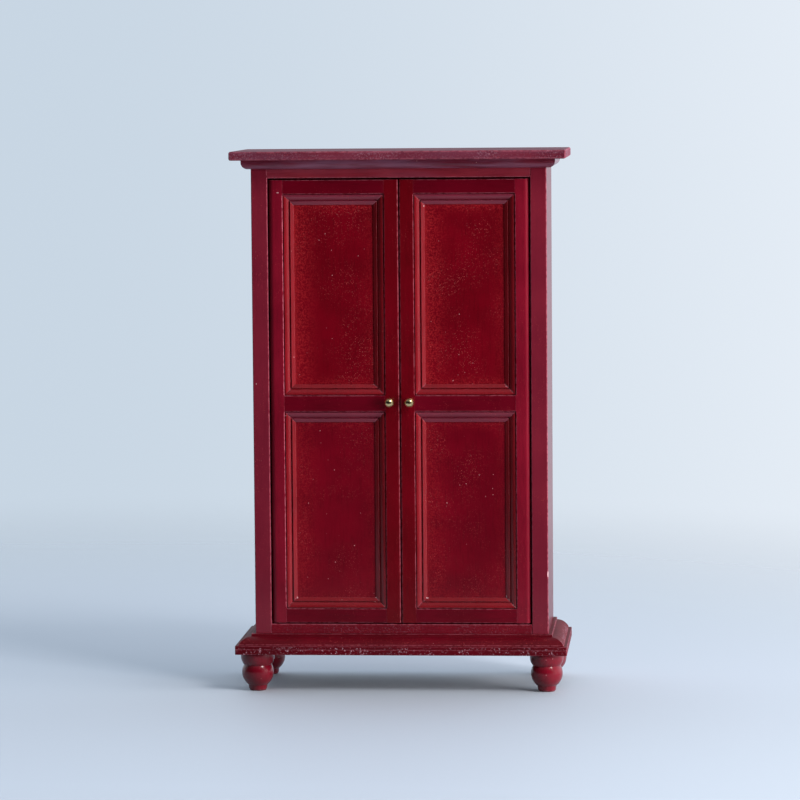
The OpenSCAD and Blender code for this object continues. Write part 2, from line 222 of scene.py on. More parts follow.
def loft(rings):
    """A closed bmesh through rings of equally many points, with a flat cap at each end."""
    bm = bmesh.new()
    made = [[bm.verts.new(p) for p in ring] for ring in rings]
    count = len(rings[0])
    for low, high in zip(made, made[1:]):
        for i in range(count):
            j = (i + 1) % count
            bm.faces.new((low[i], low[j], high[j], high[i]))
    caps = [bm.faces.new(made[0]), bm.faces.new(made[-1])]
    bm.normal_update()
    bmesh.ops.inset_individual(bm, faces=caps, thickness=CAP_BORDER * MM)
    return bm


def board_mesh(lo, hi, axis, radii, ends=(JOINT_EDGE, JOINT_EDGE), radii_at=()):
    """A board along an axis. radii are those of its four long edges and ends those of its two ends.

    The long edges are in the order (a0, b0), (a1, b0), (a1, b1), (a0, b1), where a and b are the two
    axes after this one. radii_at holds (place, radii) pairs where the long edges change along it.
    """
    a, b = (axis + 1) % 3, (axis + 2) % 3
    stations = [(place, 0.0, there) for place, there in radii_at]
    for i in range(ARC_STEPS + 1):
        turn = math.pi / 2 * i / ARC_STEPS
        short, inset = MM * (1 - math.sin(turn)), MM * (1 - math.cos(turn))
        stations.append((lo[axis] + ends[0] * short, ends[0] * inset, radii))
        stations.append((hi[axis] - ends[1] * short, ends[1] * inset, radii))
    stations.sort(key=lambda station: station[0])
    rings = []
    for place, inset, there in stations:
        ring = []
        for pa, pb in rounded_rectangle(lo[a] + inset, hi[a] - inset, lo[b] + inset, hi[b] - inset,
                                        [r * MM for r in there]):
            point = [0.0, 0.0, 0.0]
            point[axis], point[a], point[b] = place, pa, pb
            ring.append(point)
        rings.append(ring)
    return loft(rings)


def slab_mesh(lo, hi, outline, corner):
    """A board with a moulded front and sides. outline is (inset, height in metres), from the top.

    corner is the radius of the two front corners where the board is widest.
    """
    rings = []
    wall_r = WALL_CORNER * MM
    for inset, z in outline:
        r = max((corner - inset * 0.3) * MM, wall_r)
        points = rounded_rectangle(-hi.x + inset * MM, hi.x - inset * MM, lo.y + inset * MM, hi.y,
                                   (r, r, wall_r, wall_r))
        rings.append([(x, y, z) for x, y in points])
    return loft(rings)


def moulding_mesh(outline, start, end, along, out, mitre_start, mitre_end):
    """A straight moulding. outline is (distance out, height in metres).

    A mitred end follows the distance out: 1 or -1 times it, or 0 for a square end.
    """
    rings = []
    for place, mitre in ((start, mitre_start), (end, mitre_end)):
        rings.append([place + along * (u * mitre) * MM + out * u * MM + Vector((0, 0, z))
                      for u, z in outline])
    return loft(rings)


def lathe_mesh(outline, centre, axis, steps):
    """A turned piece: outline is (radius, distance along the axis), and both ends are on the axis."""
    turn = {"z": Matrix.Identity(3), "-y": Matrix.Rotation(math.pi / 2, 3, "X"),
            "x": Matrix.Rotation(math.pi / 2, 3, "Y")}[axis]
    angles = [2 * math.pi * i / steps for i in range(steps)]
    bm = bmesh.new()
    rows = []
    for r, along in outline:
        if r == 0:
            rows.append([bm.verts.new(centre + turn @ Vector((0, 0, along * MM)))])
            continue
        points = [Vector((r * math.cos(t), r * math.sin(t), along)) * MM for t in angles]
        rows.append([bm.verts.new(centre + turn @ p) for p in points])
    for low, high in zip(rows, rows[1:]):
        for i in range(steps):
            j = (i + 1) % steps
            if len(low) == 1:
                bm.faces.new((low[0], high[j], high[i]))
            elif len(high) == 1:
                bm.faces.new((low[i], low[j], high[0]))
            else:
                bm.faces.new((low[i], low[j], high[j], high[i]))
    return bm


# ---------------------------------------------------------------- pieces

# Faces that meet at a smaller turn than this are shaded as one
SMOOTH_BELOW = math.radians(38)
# Turn, in radians, below which two faces count as flat
NEARLY_FLAT = 0.02
# Turn per metre that counts as a fully sharp edge
SHARP_TURN = 2.4 / MM
# Below this, in metres, points are the same point
TINY = 1e-7


def mark_edges(bm):
    """Stores how sharply the surface turns outwards at each vertex, 0 on a flat, 1 on a sanded edge."""
    layer = bm.verts.layers.float.new("arris")
    for vert in bm.verts:
        most = 0.0
        for edge in vert.link_edges:
            if len(edge.link_faces) != 2 or edge.calc_length() < TINY:
                continue
            angle = edge.calc_face_angle_signed(0.0)
            width = sum(f.calc_area() for f in edge.link_faces) / 2 / edge.calc_length()
            if angle > NEARLY_FLAT:
                most = max(most, angle / max(width, TINY))
        vert[layer] = min(1.0, most / SHARP_TURN)


def finish_piece(bm, node, material, body="carcass", joint=None):
    """Turns a bmesh into the piece that stands for a CAD node.

    joint is a function that says how near a mitre a point is, from 0 to 1.
    """
    bmesh.ops.remove_doubles(bm, verts=bm.verts, dist=TINY)
    bmesh.ops.recalc_face_normals(bm, faces=bm.faces)
    mark_edges(bm)
    if joint:
        layer = bm.verts.layers.float.new("joint")
        for vert in bm.verts:
            vert[layer] = joint(vert.co)
    for face in bm.faces:
        face.smooth = True
    for edge in bm.edges:
        edge.smooth = edge.calc_face_angle(0.0) < SMOOTH_BELOW
    mesh = bpy.data.meshes.new(f"{node}_finished")
    bm.to_mesh(mesh)
    bm.free()
    mesh.materials.append(material)
    piece = bpy.data.objects.new(f"{node}_finished", mesh)
    bpy.context.scene.collection.objects.link(piece)
    weighted = piece.modifiers.new("face normals", "WEIGHTED_NORMAL")
    weighted.keep_sharp = True
    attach(piece, body)
    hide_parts(node)


def mirror_radii(radii, side):
    """Radii of the edges of an upright board, given for the right-hand one."""
    r00, r10, r11, r01 = radii
    return (r10, r00, r01, r11) if side == "left" else radii


def upright(node, radii, material, side="right"):
    """A board of the carcass that stands up. radii are for the right-hand board."""
    lo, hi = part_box(node)
    finish_piece(board_mesh(lo, hi, 2, mirror_radii(radii, side)), node, material)


def level(node, radii, material, end=JOINT_EDGE):
    """A level board. radii are in the order front-low, back-low, back-top, front-top."""
    lo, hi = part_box(node)
    finish_piece(board_mesh(lo, hi, 0, radii, (end, end)), node, material)


# ---------------------------------------------------------------- shader nodes

def rgb(r, g, b):
    return (r, g, b, 1.0)


def darker(colour, share):
    return rgb(*[c * share for c in colour])


class Nodes:
    """A node tree, with short calls for the nodes that the finishes share."""

    def __init__(self, tree):
        self.tree = tree

    def set(self, socket, value):
        """Links a socket to another one, or sets its value."""
        if isinstance(value, bpy.types.NodeSocket):
            self.tree.links.new(value, socket)
        else:
            socket.default_value = value

    def add(self, kind, inputs, **settings):
        """A new node. inputs are its sockets by name or number."""
        node = self.tree.nodes.new(kind)
        for key, value in settings.items():
            setattr(node, key, value)
        for key, value in inputs.items():
            self.set(node.inputs[key], value)
        return node

    def math(self, operation, *values):
        return self.add("ShaderNodeMath", dict(enumerate(values)), operation=operation).outputs[0]

    def times(self, a, b):
        return self.math("MULTIPLY", a, b)

    def most(self, a, b):
        return self.math("MAXIMUM", a, b)

    def vector(self, operation, inputs):
        return self.add("ShaderNodeVectorMath", inputs, operation=operation)

    def split(self, vector):
        """The X, Y and Z of a vector."""
        return self.add("ShaderNodeSeparateXYZ", {0: vector}).outputs

    def coordinates(self, kind):
        return self.add("ShaderNodeTexCoord", {}).outputs[kind]

    def step(self, value, low, high):
        """0 below low, 1 above high and smooth between. low may be above high."""
        node = self.add("ShaderNodeMapRange", {"Value": value, "From Min": low, "From Max": high},
                        interpolation_type="SMOOTHSTEP")
        return node.outputs["Result"]

    def mix(self, share, a, b):
        """Colour a, with a share of colour b over it."""
        return self.add("ShaderNodeMix", {0: share, 6: a, 7: b}, data_type="RGBA").outputs[2]

    def noise(self, place, scale, detail, roughness=0.55):
        node = self.add("ShaderNodeTexNoise", {"Vector": place, "Scale": scale, "Detail": detail,
                                               "Roughness": roughness})
        return node.outputs["Fac"]


class Finish(Nodes):
    """A material round one principled shader."""

    def __init__(self, name):
        self.material = bpy.data.materials.new(name)
        self.material.use_nodes = True
        super().__init__(self.material.node_tree)
        self.shader = self.tree.nodes["Principled BSDF"]

    def place(self, scale=(1, 1, 1)):
        """The point on the piece in millimetres, times scale along each axis."""
        where = self.coordinates("Object")
        return self.vector("MULTIPLY", {0: where, 1: [s / MM for s in scale]}).outputs[0]

    def facing(self, axis):
        """How squarely the surface faces along an axis, either way: 0 to 1."""
        return self.math("ABSOLUTE", self.split(self.coordinates("Normal"))[axis])

    def attribute(self, name):
        return self.add("ShaderNodeAttribute", {}, attribute_name=name).outputs["Fac"]

    def bump(self, height, distance, normal=None):
        """A bump of a height in millimetres, over an earlier one if given."""
        inputs = {"Height": height, "Distance": distance * MM, "Strength": 1.0}
        if normal is not None:
            inputs["Normal"] = normal
        return self.add("ShaderNodeBump", inputs).outputs["Normal"]

    def surface(self, **settings):
        """Sets sockets of the shader. A name has underscores for the spaces in the socket's name."""
        for name, value in settings.items():
            self.set(self.shader.inputs[name.replace("_", " ")], value)


# ---------------------------------------------------------------- lacquer

# The grain runs along the axis in which the noise is drawn out
UPRIGHT = (1, 1, 0.1)
LEVEL = (0.1, 1, 1)

# Dust in the paint: grains per millimetre, largest radius in millimetres, the power that makes most
# of them smaller, strength and colour
FINE_DUST = (2.3, 0.15, 0.8, 0.62, (0.42, 0.050, 0.050))
PALE_DUST = (0.48, 0.17, 2.2, 0.80, (0.66, 0.28, 0.30))

# Blotches: scale of the noise per millimetre, its levels where one starts and is full, and the colour
BLOTCHES = (1.7, 0.50, 0.64, (0.36, 0.19, 0.26))
FLECKS = (1.5, 0.57, 0.65, (0.66, 0.40, 0.50))

# Purplish grey of painted bluish shade and reflection of the pale floor
PAINTED_SHADE_PURPLE = rgb(0.24, 0.11, 0.19)
# Lighter red of a panel's rubbed border and of the painted light along it
RUBBED_AND_LIT_PANEL = rgb(0.38, 0.016, 0.022)
# Pale pink of paint rubbed off an edge, also a painted highlight on it
RUBBED_EDGE_AND_HIGHLIGHT = rgb(0.50, 0.13, 0.18)
KNOCKED_MITRE = rgb(0.56, 0.22, 0.24)
BARE_WOOD = rgb(0.62, 0.36, 0.38)


def wood(f, even, streak, base, deep, streaks):
    """The two reds in soft clouds, with the faint streaks of the grain."""
    cloud = f.step(f.noise(even, 0.055, 3.0), 0.33, 0.70)
    colour = f.mix(cloud, rgb(*deep), rgb(*base))
    return f.mix(f.times(f.step(streak, 0.45, 0.75), streaks), colour, darker(deep, 0.55))


def painted_bluish_shade(f, along, colour, bluish_shade):
    """Painted bluish shade and reflection of the pale floor, in purplish grey streaks over the lacquer.
    """
    streaks_of_shade = f.step(f.noise(along, 0.5, 3.0), 0.3, 0.7)
    return f.mix(f.times(streaks_of_shade, bluish_shade), colour, PAINTED_SHADE_PURPLE)


def painted_side_shade(f, colour, deep, side_shade):
    """Painted shade: a deeper colour on the faces that look left and right, to darken them against the
    side lamp.
    """
    sideways = f.step(f.facing(0), 0.6, 0.95)
    return f.mix(f.times(sideways, side_shade), colour, darker(deep, 0.5))


def rubbed_and_lit_border(f, even, colour, border):
    """Paint rubbed lighter in grit along the outline of a panel, most at its left and its top, and a
    smooth painted glow of light just inside its left and its top edges.
    """
    across, _, upward = f.split(f.coordinates("Generated"))
    # Gritty rubbed paint, widest at the left and the top
    sides = f.most(f.step(across, 0.40, 0.10), f.times(f.step(across, 0.72, 0.94), 0.55))
    ends = f.most(f.step(upward, 0.88, 0.96), f.times(f.step(upward, 0.12, 0.05), 0.6))
    grit = f.step(f.noise(even, 2.1, 3.0, 0.7), 0.44, 0.60)
    # Painted light: a smooth glow just inside the left and the top edges, with no grit
    near = f.most(f.step(across, 0.17, 0.08), f.step(upward, 0.93, 0.965))
    rubbed = f.most(f.times(f.most(sides, ends), grit), f.times(near, 0.75))
    return f.mix(f.times(rubbed, border), colour, RUBBED_AND_LIT_PANEL)


def blotched(f, even, colour, mottle, flecked_to):
    """Pale blotches on the upright faces, in patches.

    With flecked_to they are small flecks instead: all over the sides, and in front up to that
    height, in millimetres.
    """
    per_mm, low, high, pale = FLECKS if flecked_to else BLOTCHES
    sideways = f.step(f.facing(0), 0.3, 0.7)
    patch = f.step(f.noise(even, 0.09, 2.0), 0.40, 0.62)
    if flecked_to:
        patch = f.most(patch, sideways)
    blot = f.step(f.noise(even, per_mm, 4.0, 0.7), low, high)
    blot = f.times(blot, f.math("MULTIPLY_ADD", patch, 0.75, 0.25))
    blot = f.times(blot, f.step(f.facing(2), 1.15, 0.5))
    if flecked_to:
        under = f.step(f.split(even)[2], flecked_to + 0.4, flecked_to - 0.4)
        blot = f.times(blot, f.most(under, sideways))
    return f.mix(f.times(blot, mottle), colour, rgb(*pale))


def mitre_joints(f, even, colour, deep):
    """A dark filled line at each mitre, with the paint knocked off here and there beside it."""
    joint = f.attribute("joint")
    filled = f.times(f.step(joint, 0.75, 1.0), 0.6)
    colour = f.mix(filled, colour, darker(deep, 0.25))
    knocked = f.times(f.step(joint, 0.1, 0.8), f.step(f.noise(even, 1.4, 3.0), 0.60, 0.68))
    return f.mix(f.times(knocked, 0.8), colour, KNOCKED_MITRE)


def dust(f, even, colour, amount):
    """Dust in the paint: many fine grains that lie in drifts, and a few larger pale ones."""
    drift = f.step(f.noise(even, 0.09, 3.0), 0.54 - 0.25 * amount, 0.92 - 0.25 * amount)
    grains = []
    for kind in (FINE_DUST, PALE_DUST):
        per_mm, reach, power, show, tone = kind
        cells = f.add("ShaderNodeTexVoronoi", {"Vector": even, "Scale": per_mm, "Randomness": 1.0})
        pick = f.add("ShaderNodeSeparateColor", {0: cells.outputs["Color"]}).outputs
        size = f.times(f.math("POWER", pick[0], power), reach * per_mm)
        beyond = f.math("SUBTRACT", cells.outputs["Distance"], size)
        spot = f.times(f.step(beyond, 0.05 * per_mm, -0.03 * per_mm), f.step(pick[1], 0.15, 0.9))
        if kind is FINE_DUST:
            spot = f.times(spot, drift)
        colour = f.mix(f.times(spot, show), colour, rgb(*tone))
        grains.append(spot)
    return colour, f.most(*grains)


def rubbed_and_highlit_edges(f, even, colour, wear_and_highlight):
    """Paint rubbed off the sanded edges, in patches, in a pale pink that also stands as a painted
    highlight along them.
    """
    patchy = f.step(f.noise(even, 0.8, 3.0), 0.34, 0.60)
    rubbed = f.times(f.step(f.attribute("arris"), 0.2, 0.9), patchy)
    return f.mix(f.times(rubbed, wear_and_highlight), colour, RUBBED_EDGE_AND_HIGHLIGHT)


def chips(f, even, colour, flakes):
    """Flakes of missing paint. flakes holds (centre, reach along each axis), in millimetres."""
    for centre, reach in flakes:
        away = f.vector("SUBTRACT", {0: even, 1: centre}).outputs[0]
        away = f.vector("DIVIDE", {0: away, 1: reach}).outputs[0]
        away = f.vector("LENGTH", {0: away}).outputs["Value"]
        ragged = f.math("ADD", away, f.times(f.noise(even, 2.5, 3.0), 0.9))
        colour = f.mix(f.step(ragged, 1.45, 1.3), colour, BARE_WOOD)
    return colour


def lacquer(name, reds, grain, specks=0.4, wear_and_highlight=0.4, streaks=0.35, bluish_shade=0.0, mottle=0.0,
            flecked_to=None, border=0.0, side_shade=0.0, mitred=False, flakes=(), rough=0.42,
            coat=0.35, coat_rough=0.13):
    """Crimson lacquer over wood, in two reds: where it is thin, and where it is deep.

    grain is UPRIGHT or LEVEL. specks is how much dust lies in the paint, wear_and_highlight how far the
    edges are rubbed and lit with a painted highlight, streaks how plain the grain is, bluish_shade how
    much painted bluish shade and floor reflection lies over it in streaks, mottle how blotchy it is,
    flecked_to the height that flecks reach in front, border how far a panel's outline is rubbed and lit
    with painted light, and side_shade how much painted shade deepens the left and right faces. rough
    is how rough the paint is, and coat and coat_rough are the gloss over it.
    """
    f = Finish(name)
    base, deep = reds
    even, along = f.place(), f.place(grain)
    streak = f.noise(along, 1.6, 4.0)
    colour = wood(f, even, streak, base, deep, streaks)
    # Painted bluish shade and floor reflection, in streaks
    if bluish_shade:
        colour = painted_bluish_shade(f, along, colour, bluish_shade)
    # Painted shade on the left and right faces
    if side_shade:
        colour = painted_side_shade(f, colour, deep, side_shade)
    # Rubbed paint and painted light along a panel's border
    if border:
        colour = rubbed_and_lit_border(f, even, colour, border)
    if mottle:
        colour = blotched(f, even, colour, mottle, flecked_to)
    if mitred:
        colour = mitre_joints(f, even, colour, deep)
    colour, grains = dust(f, even, colour, specks)
    # Rubbed paint and painted highlights on the sanded edges
    colour = rubbed_and_highlit_edges(f, even, colour, wear_and_highlight)
    colour = chips(f, even, colour, flakes)

    dull = f.math("MULTIPLY_ADD", f.noise(even, 0.35, 3.0), 0.16, rough - 0.08)
    normal = f.bump(f.noise(even, 0.5, 2.0), 0.02)
    normal = f.bump(streak, 0.006, normal)
    normal = f.bump(grains, 0.04, normal)
    f.surface(Base_Color=colour, Roughness=dull, Specular_IOR_Level=0.15, Normal=normal)
    f.surface(Coat_Weight=coat, Coat_Roughness=coat_rough, Coat_IOR=1.5, Coat_Normal=normal)
    return f.material


# Each red is linear: where the lacquer is thin, and where it is deep
STILE_RED = ((0.203, 0.0132, 0.0298), (0.170, 0.0097, 0.0250))
BACK_RED = ((0.175, 0.0060, 0.0170), (0.140, 0.0040, 0.0130))
HEAD_RED = ((0.265, 0.0220, 0.0360), (0.215, 0.0150, 0.0290))
SILL_RED = ((0.175, 0.0030, 0.0130), (0.130, 0.0015, 0.0090))
CORNICE_RED = ((0.165, 0.0160, 0.0340), (0.118, 0.0100, 0.0250))
PLINTH_RED = ((0.120, 0.0004, 0.0070), (0.085, 0.0002, 0.0045))
FOOT_RED = ((0.215, 0.0040, 0.0160), (0.160, 0.0020, 0.0110))
INSIDE_RED = ((0.170, 0.0060, 0.0190), (0.120, 0.0040, 0.0130))
DOOR_RED = ((0.152, 0.0001, 0.0055), (0.116, 0.0001, 0.0035))
EDGE_RED = ((0.225, 0.0050, 0.0200), (0.180, 0.0030, 0.0150))
RAIL_RED = ((0.140, 0.0003, 0.0090), (0.105, 0.0001, 0.0065))
PANEL_RED = ((0.175, 0.0004, 0.0070), (0.130, 0.0002, 0.0050))
LOW_PANEL_RED = ((0.180, 0.0010, 0.0095), (0.130, 0.0004, 0.0070))
# Lighter than the panels' red: the moulding's paint, with painted light for its slopes that face the
# lamps
BEAD_RED_WITH_LIGHT = ((0.235, 0.0050, 0.0110), (0.190, 0.0032, 0.0080))
# The strips along the tops of the panels face down: more blue and green in their red, as painted
# reflection of the pale floor
TOP_BEAD_REFLECTION_RED = ((0.225, 0.0170, 0.0400), (0.182, 0.0140, 0.0340))

# Each flake: its centre and its reach along each axis, in millimetres
STILE_FLAKES = (((46.2, -16.4, 37.0), (0.2, 0.8, 0.9)),
                ((-45.2, -16.5, 97.0), (0.15, 0.8, 0.2)))
EDGE_FLAKES = (((-37.9, -16.5, 157.0), (0.42, 0.8, 0.14)),)
MITRE_FLAKES = (((-33.0, -15.1, 29.2), (0.22, 1.2, 0.30)),
                ((-8.1, -15.1, 29.4), (0.26, 1.2, 0.20)),
                ((8.1, -15.1, 29.2), (0.40, 1.2, 0.24)),
                ((33.0, -15.1, 29.7), (0.18, 1.2, 0.45)),
                ((-36.2, -16.0, 86.9), (0.30, 1.2, 0.20)),
                ((7.9, -15.1, 152.6), (0.16, 1.2, 0.22)))

# Stiles and side panels: side_shade is painted shade on their left and right faces
STILE_PAINT = lacquer("stile_lacquer", STILE_RED, UPRIGHT, specks=0.7, streaks=0.2, coat=0.47,
                      side_shade=0.5, flakes=STILE_FLAKES)
BACK_PAINT = lacquer("back_lacquer", BACK_RED, UPRIGHT, specks=0.7, streaks=0.3, rough=0.5, coat=0.1)
# The rail under the cornice, the cornice and its moulding carry painted bluish shade in streaks
HEAD_PAINT = lacquer("frame_rail_lacquer", HEAD_RED, LEVEL, specks=0.8, streaks=0.5, bluish_shade=0.12)
SILL_PAINT = lacquer("frame_sill_lacquer", SILL_RED, LEVEL, specks=1.2, mottle=0.22, rough=0.55,
                     coat=0.05)
CORNICE_PAINT = lacquer("cornice_lacquer", CORNICE_RED, LEVEL, specks=1.3, mottle=0.55, bluish_shade=0.15,
                        rough=0.55, coat=0.05)
MOULD_PAINT = lacquer("cornice_moulding_lacquer", CORNICE_RED, LEVEL, specks=0.5, streaks=0.6, bluish_shade=0.6,
                      coat=0.6)
PLINTH_PAINT = lacquer("plinth_lacquer", PLINTH_RED, LEVEL, specks=1.0, mottle=0.80, flecked_to=14.3,
                       rough=0.55, coat=0.03)
FOOT_PAINT = lacquer("foot_lacquer", FOOT_RED, UPRIGHT, specks=0.2, rough=0.30, coat=1.0, coat_rough=0.18)
INSIDE_PAINT = lacquer("inside_lacquer", INSIDE_RED, LEVEL, specks=0.5, rough=0.5, coat=0.15)
DOOR_PAINT = lacquer("door_stile_lacquer", DOOR_RED, UPRIGHT, specks=0.5, wear_and_highlight=0.32, coat=0.2)
# The hinge stiles' large wear_and_highlight is mostly a painted highlight on their rounded edges
EDGE_PAINT = lacquer("hinge_stile_lacquer", EDGE_RED, UPRIGHT, specks=0.6, wear_and_highlight=0.65, flakes=EDGE_FLAKES)
RAIL_PAINT = lacquer("door_rail_lacquer", RAIL_RED, LEVEL, specks=0.5)
LOW_RAIL_PAINT = lacquer("door_bottom_rail_lacquer", RAIL_RED, LEVEL, specks=0.5, coat=0.1)
# Panels: border is rubbed paint with painted light at the left and the top
PANEL_PAINT = lacquer("upper_panel_lacquer", PANEL_RED, UPRIGHT, specks=0.8, border=0.75, rough=0.38)
LOW_PANEL_PAINT = lacquer("lower_panel_lacquer", LOW_PANEL_RED, UPRIGHT, specks=0.7, border=0.42,
                          rough=0.38)
BEAD_PAINT = lacquer("bead_lacquer", BEAD_RED_WITH_LIGHT, UPRIGHT, specks=0.6, wear_and_highlight=0.25, coat=1.0,
                     mitred=True, flakes=MITRE_FLAKES)
TOP_BEAD_REFLECTION_PAINT = lacquer("top_bead_reflection_lacquer", TOP_BEAD_REFLECTION_RED, LEVEL, specks=0.6, wear_and_highlight=0.25, coat=1.0,
                         mitred=True, flakes=MITRE_FLAKES)


# ---------------------------------------------------------------- brass

TARNISH = rgb(0.42, 0.25, 0.08)


def brass(name, base, rough):
    """Brass, dulled and browned in patches by tarnish."""
    f = Finish(name)
    even = f.place()
    tarnish = f.step(f.noise(even, 1.1, 4.0), 0.45, 0.75)
    f.surface(Base_Color=f.mix(f.times(tarnish, 0.45), rgb(*base), TARNISH), Metallic=1.0,
              Roughness=f.math("MULTIPLY_ADD", tarnish, 0.15, rough),
              Normal=f.bump(f.noise(even, 3.0, 2.0), 0.006))
    return f.material


KNOB_BRASS = brass("knob_brass", (1.0, 0.80, 0.40), 0.20)
PIN_BRASS = brass("pin_brass", (0.10, 0.045, 0.035), 0.45)


# ---------------------------------------------------------------- carcass

def carcass():
    """The sides, the back, the face frame and the boards inside."""
    for side in ("left", "right"):
        upright(f"{side}_side_panel", (HIDDEN_EDGE, JOINT_EDGE, EDGE, HIDDEN_EDGE),
                STILE_PAINT, side)
        upright(f"frame_{side}_stile", (EDGE, EDGE, JOINT_EDGE, HIDDEN_EDGE),
                STILE_PAINT, side)
        lo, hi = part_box(f"{side}_shelf_bearer")
        bm = board_mesh(lo, hi, 1, (INSIDE_EDGE,) * 4, (INSIDE_EDGE, INSIDE_EDGE))
        finish_piece(bm, f"{side}_shelf_bearer", INSIDE_PAINT)
    upright("back_panel", (HIDDEN_EDGE, HIDDEN_EDGE, BACK_EDGE, BACK_EDGE), BACK_PAINT)
    level("frame_top_rail", (EDGE, EDGE, HIDDEN_EDGE, JOINT_EDGE), HEAD_PAINT,
          HIDDEN_EDGE)
    level("frame_bottom_rail", (JOINT_EDGE, HIDDEN_EDGE, JOINT_EDGE, EDGE), SILL_PAINT,
          HIDDEN_EDGE)
    level("ceiling_board", (INSIDE_EDGE, HIDDEN_EDGE, HIDDEN_EDGE, INSIDE_EDGE), INSIDE_PAINT)
    level("floor_board", (HIDDEN_EDGE, HIDDEN_EDGE, HIDDEN_EDGE, FLOOR_EDGE), INSIDE_PAINT)
    level("hat_shelf", (SHELF_EDGE, HIDDEN_EDGE, HIDDEN_EDGE, SHELF_EDGE), INSIDE_PAINT)


def hanging_rail():
    """The dowel that clothes hang on."""
    lo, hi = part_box("hanging_rail")
    outline = rod_outline((hi.z - lo.z) / 2 / MM, (hi.x - lo.x) / MM, RAIL_SOFT)
    start = Vector((lo.x, (lo.y + hi.y) / 2, (lo.z + hi.z) / 2))
    finish_piece(lathe_mesh(outline, start, "x", RAIL_SIDES), "hanging_rail", INSIDE_PAINT)


# ---------------------------------------------------------------- cornice, plinth and feet

def cornice():
    """The overhanging board, and the quarter-round moulding under it on three sides."""
    lo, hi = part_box("cornice_board")
    bm = slab_mesh(lo, hi, edge_round(lo.z, hi.z, CORNICE_EDGE), CORNICE_CORNER)
    finish_piece(bm, "cornice_board", CORNICE_PAINT)

    lo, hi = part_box("cornice_moulding_front")
    reach = (FRONT_Y - lo.y) / MM
    turned = [(u, lo.z + (CORNICE_ROUND + v) * MM)
              for u, v in arc(reach - CORNICE_ROUND, 0, CORNICE_ROUND, 0, -90, CORNICE_STEPS)]
    outline = [(0, hi.z), (reach, hi.z)] + turned + [(0, lo.z)]
    bm = moulding_mesh(outline, Vector((-BODY_X, FRONT_Y, 0)), Vector((BODY_X, FRONT_Y, 0)),
                       Vector((1, 0, 0)), Vector((0, -1, 0)), -1, 1)
    finish_piece(bm, "cornice_moulding_front", MOULD_PAINT)
    for side, sign in (("left", -1), ("right", 1)):
        x = sign * BODY_X
        bm = moulding_mesh(outline, Vector((x, FRONT_Y, 0)), Vector((x, BACK_Y, 0)),
                           Vector((0, 1, 0)), Vector((sign, 0, 0)), -1, 0)
        finish_piece(bm, f"cornice_moulding_{side}", MOULD_PAINT)


def plinth():
    """The board with a ledge, an ovolo and a step on three sides, and the thin board under it."""
    lo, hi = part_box("plinth_moulded_board")
    top, bottom = hi.z / MM, lo.z / MM
    reach = (hi.x - BODY_X) / MM
    ovolo_top = top - PLINTH_LEDGE_DROP
    ovolo_r = (PLINTH_OVOLO_W ** 2 + PLINTH_OVOLO_H ** 2) / (2 * PLINTH_OVOLO_H)
    ovolo_turn = math.degrees(math.asin(PLINTH_OVOLO_W / ovolo_r))
    step_z = ovolo_top - PLINTH_OVOLO_H - PLINTH_STEP_H
    edge = [(0, top), (PLINTH_LEDGE_W, top)]
    edge += arc(PLINTH_LEDGE_W, ovolo_top - ovolo_r, ovolo_r, 90, 90 - ovolo_turn, OVOLO_STEPS)
    edge += [(PLINTH_LEDGE_W + PLINTH_OVOLO_W, step_z), (reach, step_z), (reach, bottom),
             (reach - PLINTH_UNDER_W, bottom)]
    outline = [(reach - u, z * MM) for u, z in soften(edge, PLINTH_SOFT, 3)]
    finish_piece(slab_mesh(lo, hi, outline, PLINTH_CORNER), "plinth_moulded_board", PLINTH_PAINT)
    lo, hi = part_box("plinth_base_board")
    bm = slab_mesh(lo, hi, edge_round(lo.z, hi.z, BASE_EDGE), PLINTH_CORNER)
    finish_piece(bm, "plinth_base_board", PLINTH_PAINT)


def feet():
    """Four turned feet: a pad, a ball, a neck and a collar."""
    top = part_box("plinth_base_board")[0].z / MM
    ball_low = math.degrees(math.asin((PAD_TOP - BALL_Z) / BALL_R))
    ball_high = math.degrees(math.asin((NECK_Z - BALL_Z) / BALL_R))
    collar_low = math.degrees(math.asin((NECK_Z - COLLAR_Z) / COLLAR_ROUND))
    side = [(OFF_AXIS, 0), (PAD_R - PAD_TAPER - PAD_BEVEL, 0), (PAD_R - PAD_TAPER, PAD_BEVEL_H),
            (PAD_R, PAD_TOP)]
    side += arc(0, BALL_Z, BALL_R, ball_low, ball_high, BALL_STEPS)
    side += arc(COLLAR_R - COLLAR_ROUND, COLLAR_Z, COLLAR_ROUND, collar_low, 0, COLLAR_STEPS)
    side += [(COLLAR_R, top), (OFF_AXIS, top)]
    outline = [(0, 0)] + soften(side, FOOT_SOFT, 3) + [(0, top)]
    for where in ("front_left", "front_right", "rear_left", "rear_right"):
        lo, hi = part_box(f"foot_{where}")
        centre = Vector(((lo.x + hi.x) / 2, (lo.y + hi.y) / 2, 0))
        finish_piece(lathe_mesh(outline, centre, "z", FOOT_SIDES), f"foot_{where}", FOOT_PAINT)


# ---------------------------------------------------------------- doors

def strip_outline():
    """Section of the panel moulding: (width in from the door frame, depth behind the door's front)."""
    start, stop = (math.degrees(math.asin((w - OVOLO_MID_W) / OVOLO_R)) for w in (QUIRK_W, OVOLO_END_W))
    top = [(0.0, QUIRK_D), (QUIRK_W, QUIRK_D)]
    top += arc(OVOLO_MID_W, OVOLO_D + OVOLO_R, OVOLO_R, start - 90, stop - 90, OVOLO_STEPS)
    top += [(OVOLO_END_W + HOLLOW_SLOPE, HOLLOW_D), (BEVEL_W - HOLLOW_SLOPE, HOLLOW_D)]
    top += [(BEVEL_W, BEVEL_D), (STRIP_W, BEVEL_END_D), (STRIP_W, PANEL_D)]
    return [(0.0, PANEL_D)] + soften(top, STRIP_SOFT, 3)


STRIP = strip_outline()


